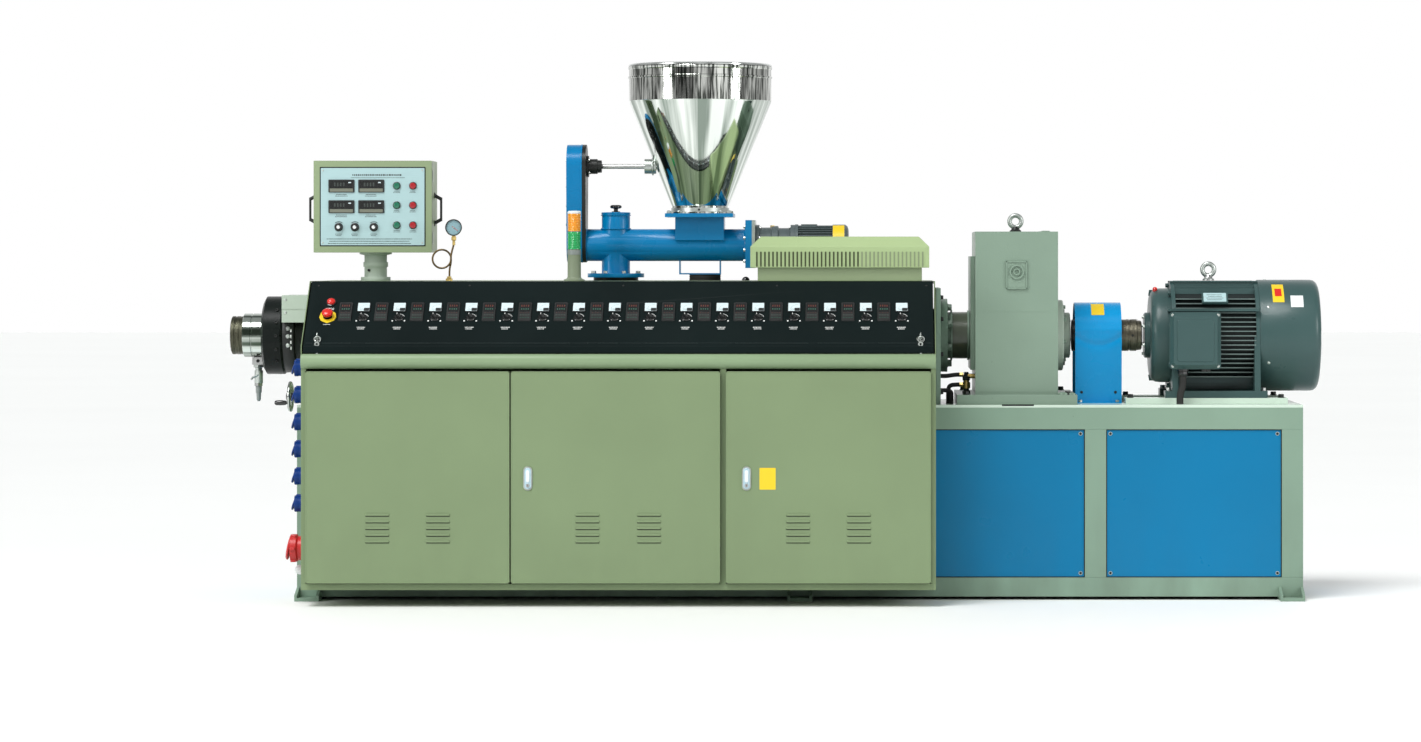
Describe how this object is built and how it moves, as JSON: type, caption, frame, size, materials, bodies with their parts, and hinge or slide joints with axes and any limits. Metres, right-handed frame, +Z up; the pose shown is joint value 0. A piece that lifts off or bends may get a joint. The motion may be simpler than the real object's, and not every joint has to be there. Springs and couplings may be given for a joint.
{
  "type": "plastic extruder",
  "caption": "Floor-standing screw extruder: hopper and feeder over an enclosed barrel, control console, gearbox, guarded coupling and motor on a welded frame.",
  "frame": {"origin": "middle of the footprint of the whole machine, on the floor", "axes": "+X from the melt outlet to the motor, +Y from the operator's side to the back, +Z up"},
  "size_m": [4.067, 1.156, 1.983],
  "materials": {
    "frame_paint": "satin machine enamel, lightly worn",
    "cabinet_paint": "fine textured enamel",
    "panel_blue": "satin enamel",
    "feeder_blue": "gloss enamel",
    "guard_blue": "gloss enamel",
    "gearbox_paint": "satin enamel over casting",
    "motor_paint": "satin enamel over casting",
    "gearmotor_paint": "satin enamel",
    "fascia_black": "fine textured enamel",
    "stainless": "brushed and polished stainless",
    "polished_steel": "polished",
    "raw_steel": "turned steel, slightly browned",
    "dark_steel": "blackened steel",
    "heater_casting": "dark band heater casting",
    "black_plastic": "moulded",
    "gloss_black_plastic": "moulded, semi gloss",
    "red_plastic": "moulded",
    "blue_plastic": "moulded",
    "lamp_plastic": "translucent lamp drum",
    "black_rubber": "matt",
    "aluminium": "natural anodised",
    "pole_paint": "satin"
  },
  "bodies": {
    "machine": {"base_rails": "frame_paint", "base_posts": "frame_paint", "base_cross_beams": "frame_paint", "base_deck": "frame_paint", "base_feet": "frame_paint", "infill_panels": "panel_blue", "cabinet_back_and_floor": "cabinet_paint", "cabinet_walls": "cabinet_paint", "cabinet_band": "cabinet_paint", "hinge_pins": "raw_steel", "end_covers": "cabinet_paint", "top_cover": "cabinet_paint", "rear_cover": "cabinet_paint", "adaptor_nose": "raw_steel", "die_adaptor": "polished_steel", "head_heater_ring": "heater_casting", "head_sensor": "raw_steel", "barrel": "dark_steel", "barrel_end_hood": "frame_paint", "transfer_housing": "frame_paint", "gearbox_housing": "gearbox_paint", "gearbox_covers": "gearbox_paint", "lifting_eyes": "gearbox_paint", "oil_valve": "raw_steel", "hoses_and_cable": "black_rubber", "coupling_guard": "guard_blue", "motor_slide_rails": "motor_paint", "motor_frame": "motor_paint", "motor_cowl": "motor_paint", "motor_terminal_box": "motor_paint", "feeder_body": "feeder_blue", "feeder_fittings": "black_rubber", "feeder_gearmotor": "gearmotor_paint", "chain_cover": "feeder_blue", "chain_cover_back": "feeder_blue", "hopper_shell": "stainless", "vent_hood": "cabinet_paint", "signal_tower_pole": "pole_paint", "signal_tower_lamps": "lamp_plastic", "pressure_gauge": "raw_steel", "operator_pedestal": "frame_paint", "left_wall_fittings": "blue_plastic"},
    "left_door": {"left_door_panel": "cabinet_paint"},
    "middle_door": {"middle_door_panel": "cabinet_paint", "middle_door_lock": "gloss_black_plastic"},
    "right_door": {"right_door_panel": "cabinet_paint", "right_door_lock": "gloss_black_plastic"},
    "console_fascia": {"fascia_panel": "fascia_black", "temperature_controllers": "black_plastic", "fascia_instruments": "gloss_black_plastic"},
    "emergency_stop": {"stop_button": "red_plastic"},
    "operator_station": {"operator_box": "cabinet_paint", "operator_plate": "aluminium", "operator_instruments": "black_plastic", "operator_handles": "polished_steel"},
    "coupling": {"drive_coupling": "raw_steel"},
    "agitator": {"agitator_shaft": "raw_steel"},
    "hopper_cover": {"hopper_lid": "stainless"},
    "wheel": {"handwheel": "black_plastic"}
  },
  "joints": [
    {"name": "left_door_hinge", "type": "hinge", "parent": "machine", "child": "left_door", "pos_m": [-1.6605, -0.565, 0.4675], "axis": [0, 0, -1], "range_deg": [0, 105]},
    {"name": "middle_door_hinge", "type": "hinge", "parent": "machine", "child": "middle_door", "pos_m": [-0.1855, -0.565, 0.4675], "axis": [0, 0, 1], "range_deg": [0, 105]},
    {"name": "right_door_hinge", "type": "hinge", "parent": "machine", "child": "right_door", "pos_m": [0.5715, -0.565, 0.4675], "axis": [0, 0, 1], "range_deg": [0, 105]},
    {"name": "fascia_hinge", "type": "hinge", "parent": "machine", "child": "console_fascia", "pos_m": [-0.5445, -0.299, 1.165], "axis": [-1, 0, 0], "range_deg": [0, 60]},
    {"name": "emergency_stop_press", "type": "slide", "parent": "console_fascia", "child": "emergency_stop", "axis": [0, 0.6756, -0.7373], "range_m": [0, 0.005], "stiffness_N_per_m": 800},
    {"name": "operator_box_swivel", "type": "hinge", "parent": "machine", "child": "operator_station", "pos_m": [-1.4845, 0.048, 1.276], "axis": [0, 0, 1], "range_deg": [-60, 60]},
    {"name": "coupling_spin", "type": "hinge", "parent": "machine", "child": "coupling", "pos_m": [1.244, 0.148, 0.966], "axis": [1, 0, 0], "continuous": true},
    {"name": "agitator_spin", "type": "hinge", "parent": "machine", "child": "agitator", "pos_m": [-0.56, 0.148, 1.5986], "axis": [1, 0, 0], "continuous": true},
    {"name": "hopper_lid_lift", "type": "slide", "parent": "machine", "child": "hopper_cover", "axis": [0, 0, 1], "range_m": [0, 0.3]},
    {"name": "handwheel_turn", "type": "hinge", "parent": "machine", "child": "wheel", "pos_m": [-1.7255, -0.292, 0.749], "axis": [1, 0, 0], "continuous": true}
  ]
}
